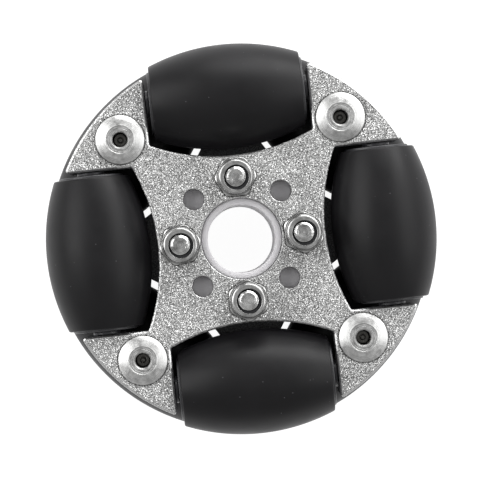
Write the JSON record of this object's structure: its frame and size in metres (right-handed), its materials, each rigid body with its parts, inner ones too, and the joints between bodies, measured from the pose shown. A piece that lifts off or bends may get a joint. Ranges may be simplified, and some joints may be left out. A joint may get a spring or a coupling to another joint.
{
  "type": "omni wheel",
  "caption": "Omni wheel: barrel rollers in staggered rows between sandblasted star plates, screwed round a bored hub and riveted at the arms.",
  "frame": {"origin": "wheel centre: on the axis, midway between the two rows of rollers", "axes": "+Z along the wheel's axis, out of the front face with the lock nuts; the front row has a roller on +X, +Y, -X and -Y, and the rear row's rollers stand half a pitch round; the wheel lies on its side, on the rear row's rollers"},
  "size_m": [0.058, 0.058, 0.0294],
  "materials": {
    "plate": "sandblasted",
    "frame": "moulded, textured",
    "spacer_nylon": "smooth, pale lilac grey",
    "tyre": "moulded, satin",
    "core": "moulded, satin",
    "axle": "ground",
    "washer": "moulded, grey",
    "screw": "zinc plated",
    "nut": "zinc plated",
    "insert": "smooth",
    "rivet": "polished",
    "rivet_pin": "dull"
  },
  "bodies": {
    "root": {"hub_spacer": "spacer_nylon", "front_plate": "plate", "rear_plate": "plate", "front_frame": "frame", "rear_frame": "frame", "hub_screws": "screw", "hub_nuts": "nut", "nut_inserts": "insert", "front_rivets": "rivet", "rear_rivets": "rivet", "front_rivet_pins": "rivet_pin", "rear_rivet_pins": "rivet_pin", "front_axle_1": "axle", "front_washers_1": "washer", "front_axle_2": "axle", "front_washers_2": "washer", "front_axle_3": "axle", "front_washers_3": "washer", "front_axle_4": "axle", "front_washers_4": "washer", "rear_axle_1": "axle", "rear_washers_1": "washer", "rear_axle_2": "axle", "rear_washers_2": "washer", "rear_axle_3": "axle", "rear_washers_3": "washer", "rear_axle_4": "axle", "rear_washers_4": "washer"},
    "front_roller_1": {"front_tyre_1": "tyre", "front_core_1": "core"},
    "front_roller_2": {"front_tyre_2": "tyre", "front_core_2": "core"},
    "front_roller_3": {"front_tyre_3": "tyre", "front_core_3": "core"},
    "front_roller_4": {"front_tyre_4": "tyre", "front_core_4": "core"},
    "rear_roller_1": {"rear_tyre_1": "tyre", "rear_core_1": "core"},
    "rear_roller_2": {"rear_tyre_2": "tyre", "rear_core_2": "core"},
    "rear_roller_3": {"rear_tyre_3": "tyre", "rear_core_3": "core"},
    "rear_roller_4": {"rear_tyre_4": "tyre", "rear_core_4": "core"}
  },
  "joints": [
    {"name": "front_roller_1_spin", "type": "hinge", "parent": "root", "child": "front_roller_1", "pos_m": [0.02125, 0, 0.007], "axis": [0, -1, 0], "continuous": true},
    {"name": "front_roller_2_spin", "type": "hinge", "parent": "root", "child": "front_roller_2", "pos_m": [0, 0.02125, 0.007], "axis": [1, 0, 0], "continuous": true},
    {"name": "front_roller_3_spin", "type": "hinge", "parent": "root", "child": "front_roller_3", "pos_m": [-0.02125, 0, 0.007], "axis": [0, 1, 0], "continuous": true},
    {"name": "front_roller_4_spin", "type": "hinge", "parent": "root", "child": "front_roller_4", "pos_m": [0, -0.02125, 0.007], "axis": [-1, 0, 0], "continuous": true},
    {"name": "rear_roller_1_spin", "type": "hinge", "parent": "root", "child": "rear_roller_1", "pos_m": [0.01503, 0.01503, -0.007], "axis": [0.7071, -0.7071, 0], "continuous": true},
    {"name": "rear_roller_2_spin", "type": "hinge", "parent": "root", "child": "rear_roller_2", "pos_m": [-0.01503, 0.01503, -0.007], "axis": [0.7071, 0.7071, 0], "continuous": true},
    {"name": "rear_roller_3_spin", "type": "hinge", "parent": "root", "child": "rear_roller_3", "pos_m": [-0.01503, -0.01503, -0.007], "axis": [-0.7071, 0.7071, 0], "continuous": true},
    {"name": "rear_roller_4_spin", "type": "hinge", "parent": "root", "child": "rear_roller_4", "pos_m": [0.01503, -0.01503, -0.007], "axis": [-0.7071, -0.7071, 0], "continuous": true}
  ]
}
